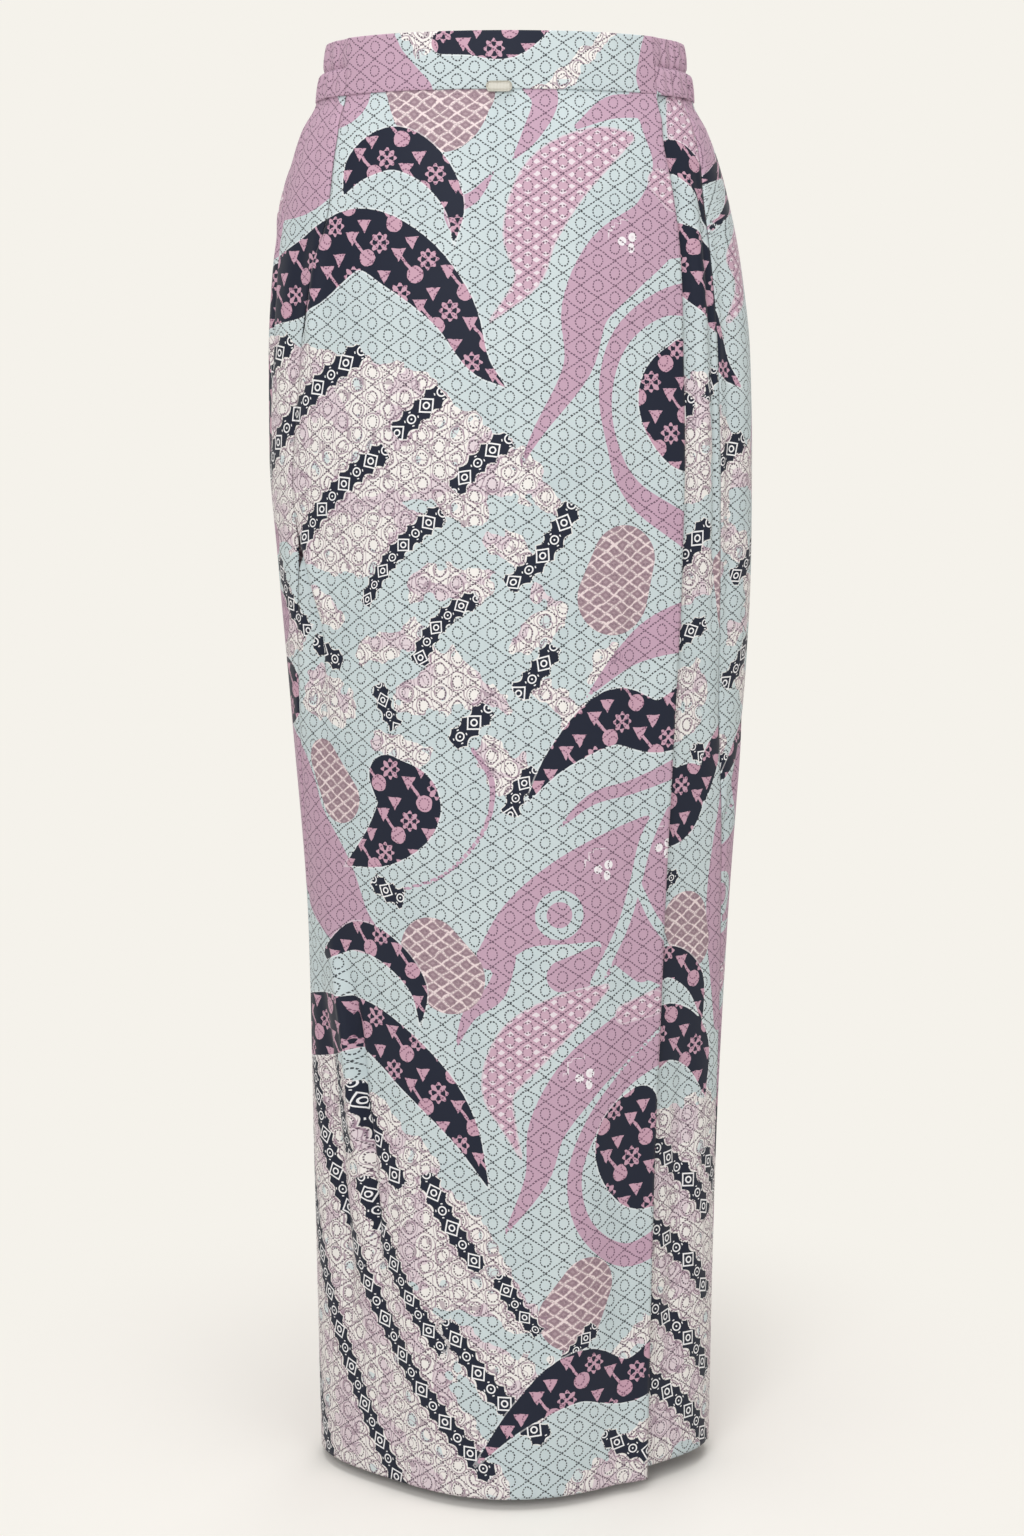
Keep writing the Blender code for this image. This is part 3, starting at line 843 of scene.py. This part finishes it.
def overPlace(across, down):
    z = downToHeight(down, skirt["hem"])
    angle = leftSeam(z) + skirt["sideGap"] + across * (freeEdge(z) - leftSeam(z) - skirt["sideGap"])
    drop = (skirt["waistSeam"] - z) / (skirt["waistSeam"] - skirt["hem"])
    lift = skirt["edgeLift"][0] + (skirt["edgeLift"][1] - skirt["edgeLift"][0]) * drop**1.5
    out = lift * (1 - smoothStep(freeEdge(z) - angle, 0.0, skirt["edgeReach"]))
    u, v = frontMap(z, angle)
    out = out + creaseDepth(u, v, frontCreases) - seamDip(z, leftSeam(z), angle)
    return *surfacePoint(z, angle, out), angle


def frontMap(z, angle):
    return arcFrom(z, 0.0, angle), (skirt["waistSeam"] - z) * 1000


overPanel = makeSheet("front_over_panel_cloth", (116, 384), overPlace, frontMap, overDrawing)


def underPlace(across, down):
    z = downToHeight(down, skirt["underHem"])
    angle = skirt["hiddenEdge"] + across * (rightSeam(z) - skirt["sideGap"] - skirt["hiddenEdge"])
    out = -skirt["layerGap"] * (1 - smoothStep(angle, freeEdge(z) + 1.0, rightSeam(z)))
    u, v = frontMap(z, angle)
    shown = smoothStep(angle, freeEdge(z) + 1.0, freeEdge(z) + 6.0)
    hidden = creaseDepth(u, v, frontCreases) * (1 - shown)  # behind the over panel it has its creases
    out = out + hidden + creaseDepth(u, v, underCreases) * shown - seamDip(z, rightSeam(z), angle)
    return *surfacePoint(z, angle, out), angle


underPanel = makeSheet("front_under_panel_cloth", (67, 320), underPlace, frontMap, underDrawing)

# Small gathers under the elastic: angles and spreads in degrees, depths in metres, lengths in millimetres.
gathers = {"number": 40, "from": 73, "to": 300, "stray": 1.5, "depth": (0.0006, 0.0016), "spread": (0.9, 1.8),
           "length": (40, 95)}
seeded = np.random.default_rng(5)
waistGathers = []
for place in np.linspace(gathers["from"], gathers["to"], gathers["number"]):
    strayed = place + seeded.uniform(-gathers["stray"], gathers["stray"])
    shape = [seeded.uniform(*gathers[measure]) for measure in ("depth", "spread", "length")]
    waistGathers.append((strayed, *shape))


def backPlace(across, down):
    z = downToHeight(down, skirt["hem"])
    start, end = rightSeam(z) + skirt["sideGap"], 360 + leftSeam(z) - skirt["sideGap"]
    angle = start + across * (end - start)
    u = arcFrom(z, 0.0, leftSeam(z)) + arcFrom(z, leftSeam(z), angle - 360)
    v = (skirt["waistSeam"] - z) * 1000
    out = creaseDepth(u, v, backCreases)
    out = out - seamDip(z, rightSeam(z), angle) - seamDip(z, leftSeam(z) + 360, angle)
    for place, depth, spread, length in waistGathers:
        fade = (1 - smoothStep(v, 0.2 * length, length)) * smoothStep(v, 0, 5)
        out = out - depth * np.exp(-(((angle - place) / spread) ** 2)) * fade
    return *surfacePoint(z, angle, out), angle


backPrint = {
    "blendOver": 300.0,  # the print runs on from the left seam, and hangs straight this many millimetres on
    "middle": -425.0,  # where the drawing stands at centre back, in millimetres
    "fullness": 0.35,  # extra cloth in the gathers at the waist
    "gatheredTo": 0.12,  # metres down, where that extra has gone
}


def backMap(z, angle):
    fromSeam = arcFrom(z, leftSeam(z), angle - 360)  # below 0
    continued = arcFrom(z, 0.0, leftSeam(z)) + fromSeam
    middle = arcFrom(z, -180.0, angle - 360) + backPrint["middle"]
    share = smoothStep(-fromSeam, 0.0, backPrint["blendOver"])
    nearWaist = 1 - smoothStep(skirt["waistSeam"] - z, 0.0, backPrint["gatheredTo"])
    gathered = 1 + backPrint["fullness"] * nearWaist * share
    return (continued * (1 - share) + middle * share) * gathered, (skirt["waistSeam"] - z) * 1000


backPanel = makeSheet("back_panel_cloth", (210, 210), backPlace, backMap, backDrawing, printRepeat)

band = {
    "top": 0.020,
    "left": -56.6,  # the flat front band's ends, in degrees
    "right": 51.5,
    "endGap": 0.2,
    "proud": 0.0006,
    "crown": 0.0005,
    "wall": 0.0026,
    "puff": (-0.0022, 0.0008),  # how far the upper and the lower channel stand out
    "swell": 0.0010,
    "channel": 0.0030,  # depth of the stitched line between them
    "gathers": 64,
    "stray": 1.6,
    "depth": (0.0008, 0.0026),
    "spread": (0.8, 1.6),
    "meets": 5.0,  # over so many degrees it flattens to meet the front band
    "ease": 1.32,  # length of cloth for each length of band
}


def bandFrontPlace(across, down):
    z = band["top"] + (skirt["waistSeam"] - band["top"]) * down
    angle = band["left"] + band["endGap"] + across * (band["right"] - band["left"] - 2 * band["endGap"])
    return *surfacePoint(z, angle, band["proud"] + band["crown"] * (1 - (2 * down - 1) ** 2)), angle


def bandMap(z, angle):
    return arcFrom(z, 0.0, angle), (band["top"] - z) * 1000


bandFront = makeSheet(
    "waistband_front_cloth", (230, 40), bandFrontPlace, bandMap, bandDrawing, wall=band["wall"]
)

seeded = np.random.default_rng(11)
gatherAngles = np.linspace(band["right"] + 2, 360 + band["left"] - 2, band["gathers"])
gatherAngles = gatherAngles + seeded.uniform(-band["stray"], band["stray"], band["gathers"])
gatherDepths = seeded.uniform(*band["depth"], (2, band["gathers"]))
gatherSpreads = seeded.uniform(*band["spread"], band["gathers"])


def bandBackPlace(across, down):  # two elastic channels, puffed and puckered, with a stitched line between
    z = band["top"] + (skirt["waistSeam"] - band["top"]) * down
    start, end = band["right"] + band["endGap"], 360 + band["left"] - band["endGap"]
    angle = start + across * (end - start)
    full = np.abs(np.sin(2 * np.pi * down))
    upper, lower = band["puff"]
    swell = smoothStep(down, 0.44, 0.56) * (lower - upper) + upper + band["swell"] * full**0.7
    swell = swell - band["channel"] * (1 - full) ** 4 * (down > 0.2) * (down < 0.8)
    for number in range(band["gathers"]):
        depth = np.where(down < 0.5, gatherDepths[0][number], gatherDepths[1][number])
        pucker = np.exp(-(((angle - gatherAngles[number]) / gatherSpreads[number]) ** 2))
        swell = swell - depth * pucker * (0.35 + 0.65 * full**0.5)
    end = np.minimum(angle - band["right"], 360 + band["left"] - angle)
    swell = swell * smoothStep(end, 0.0, band["meets"])
    return *surfacePoint(z, angle, band["proud"] + swell), angle


def bandBackMap(z, angle):
    leftEnd = arcFrom(z, 0.0, 0 * z + band["left"])
    return leftEnd + arcFrom(z, band["left"] + 0 * z, angle - 360) * band["ease"], (band["top"] - z) * 1000


# The gathered band's print starts again where it comes round to the flat front band's right end.
waist = np.zeros(1)
frontRun = arcFrom(waist, waist, waist + band["right"]) - arcFrom(waist, waist, waist + band["left"])
backRun = arcFrom(waist, waist + band["right"], waist + band["left"] + 360)
bandRepeat = float((frontRun + backRun * band["ease"])[0])
bandBack = makeSheet(
    "waistband_back_cloth", (420, 40), bandBackPlace, bandBackMap, bandDrawing, bandRepeat, band["wall"]
)

# A folded bit of tape caught in the waist seam: a rounded flat pad, bent to the band.
tab = {
    "left": -0.0160, "right": 0.0015, "top": -0.0150, "bottom": -0.0222, "thick": 0.0022, "round": 0.0030,
    "bend": 0.1375,  # radius of the band under it
    "proud": 0.0016,
}
bpy.ops.object.select_all(action="DESELECT")
bpy.ops.mesh.primitive_cube_add(
    size=1,
    location=((tab["left"] + tab["right"]) / 2, 0, (tab["top"] + tab["bottom"]) / 2),
    scale=(tab["right"] - tab["left"], tab["thick"], tab["top"] - tab["bottom"]),
)
tabPiece = bpy.context.object
tabPiece.name = tabPiece.data.name = "waist_tab_tape"
bpy.ops.object.transform_apply(location=True, rotation=True, scale=True)
bpy.ops.object.mode_set(mode="EDIT")
bpy.ops.mesh.select_all(action="DESELECT")
bpy.ops.object.mode_set(mode="OBJECT")
for edge in tabPiece.data.edges:  # the four corner edges that run from front to back
    first, last = (tabPiece.data.vertices[i].co for i in edge.vertices)
    edge.select = abs(first.y - last.y) > tab["thick"] / 2
bpy.ops.object.mode_set(mode="EDIT")
bpy.ops.mesh.bevel(offset=tab["round"], segments=5, affect="EDGES")
bpy.ops.mesh.select_all(action="SELECT")
bpy.ops.mesh.subdivide(number_cuts=1)
bpy.ops.object.mode_set(mode="OBJECT")
bevel = tabPiece.modifiers.new("soft edge", "BEVEL")
bevel.width, bevel.segments, bevel.limit_method = tab["thick"] * 0.42, 3, "ANGLE"
bpy.ops.object.modifier_apply(modifier="soft edge")
for vertex in tabPiece.data.vertices:  # bend it round the band's face
    angle = math.degrees(math.asin(vertex.co.x / tab["bend"]))
    out = band["proud"] + tab["proud"] - vertex.co.y
    x, y, _ = surfacePoint(np.array([vertex.co.z]), np.array([angle]), np.array([out]))
    vertex.co.x, vertex.co.y = x[0], y[0]
bpy.ops.object.shade_smooth_by_angle(angle=math.radians(50))
tabPiece.data.materials.append(tapeMaterial)
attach(tabPiece, rootBody)
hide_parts("waist_tab")

pieces = [
    (overPanel, "front_over_panel"), (underPanel, "front_under_panel"), (backPanel, "back_panel"),
    (bandFront, "waistband_front"), (bandBack, "waistband_back"),
]
for piece, node in pieces:
    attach(piece, rootBody)
    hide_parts(node)

print("cloth pieces and tab ready")

studio = {
    "paper": "#F5F2EB",
    "floor": "#FAF8F4",
    "airTint": "#F7F1E9",
    "air": 0.38,
    "height": -0.990,
    "shadowBack": 0.09,
    "clear": (0.13, 0.52),  # the shadow fades out between these distances
}
paper = bpy.data.materials.new("studio paper")
paper.use_nodes = True
tree = paper.node_tree
tree.nodes.clear()
place = addNode(tree, "TexCoord")
reach = addNode(tree, "VectorMath", {0: place.outputs["Object"]}, operation="LENGTH")
nearest, furthest = studio["clear"]
inputs = {"Value": reach.outputs["Value"], "From Min": nearest, "From Max": furthest}
fade = addNode(tree, "MapRange", inputs, interpolation_type="SMOOTHSTEP")
matt = addNode(tree, "BsdfDiffuse", {"Color": hexColour(studio["floor"])})
glow = addNode(tree, "Emission", {"Color": hexColour(studio["paper"]), "Strength": 1.0})
blend = addNode(tree, "MixShader", {0: fade.outputs[0], 1: matt.outputs[0], 2: glow.outputs[0]})
addNode(tree, "OutputMaterial", {"Surface": blend.outputs[0]})

sweep = bpy.data.meshes.new("studio_floor")
sweep.from_pydata([(x, y, 0.0) for x, y in ((-30, -9), (30, -9), (30, 60), (-30, 60))], [], [(0, 1, 2, 3)])
sweep.materials.append(paper)
sweepObject = bpy.data.objects.new("studio_floor", sweep)
sweepObject.location = (0, studio["shadowBack"], studio["height"])
bpy.context.scene.collection.objects.link(sweepObject)

world = bpy.data.worlds.new("studio air")
bpy.context.scene.world = world
world.use_nodes = True
tree = world.node_tree
tree.nodes.clear()
seen = addNode(tree, "Background", {"Color": hexColour(studio["paper"]), "Strength": 1.0})
lit = addNode(tree, "Background", {"Color": hexColour(studio["airTint"]), "Strength": studio["air"]})
ray = addNode(tree, "LightPath")
airMix = addNode(tree, "MixShader", {0: ray.outputs["Is Camera Ray"], 1: lit.outputs[0], 2: seen.outputs[0]})
addNode(tree, "OutputWorld", {"Surface": airMix.outputs[0]})


def areaLight(name, place, target, size, power):
    lamp = bpy.data.lights.new(name, "AREA")
    lamp.shape, lamp.size, lamp.energy = "DISK", size, power
    holder = bpy.data.objects.new(name, lamp)
    holder.location = place
    holder.rotation_mode = "QUATERNION"
    holder.rotation_quaternion = (Vector(target) - Vector(place)).to_track_quat("-Z", "Y")
    bpy.context.scene.collection.objects.link(holder)


softboxes = {  # where, aimed at, width in metres, power in watts
    "key": ((-0.6, -2.5, 0.8), (0, 0, -0.35), 1.3, 30),
    "fill": ((1.6, -2.4, 0.3), (0, 0, -0.5), 1.6, 7),
    "top": ((0, -0.5, 2.6), (0, 0, -1), 3.0, 60),
    "back": ((0.9, 2.7, 0.7), (0, 0, -0.4), 1.8, 16),
    "side": ((-2.3, 1.9, 0.5), (0, 0, -0.4), 1.4, 5),
}
for name, settings in softboxes.items():
    areaLight(name + " softbox", *settings)

view = {"distance": 1.862, "side": 0.0014, "height": -0.2432, "tilt": 1.6, "lens": 61.0195, "shift": -0.1815}
cameraData = bpy.data.cameras.new("camera")
cameraData.sensor_width = 36.0
cameraData.lens = view["lens"]
cameraData.shift_y = view["shift"]
camera = bpy.data.objects.new("camera", cameraData)
camera.location = (view["side"], -view["distance"], view["height"])
camera.rotation_euler = (math.radians(90 - view["tilt"]), 0, 0)
bpy.context.scene.collection.objects.link(camera)
bpy.context.scene.camera = camera
bpy.context.scene.view_settings.view_transform = "Standard"

print("stage, lights and camera ready")
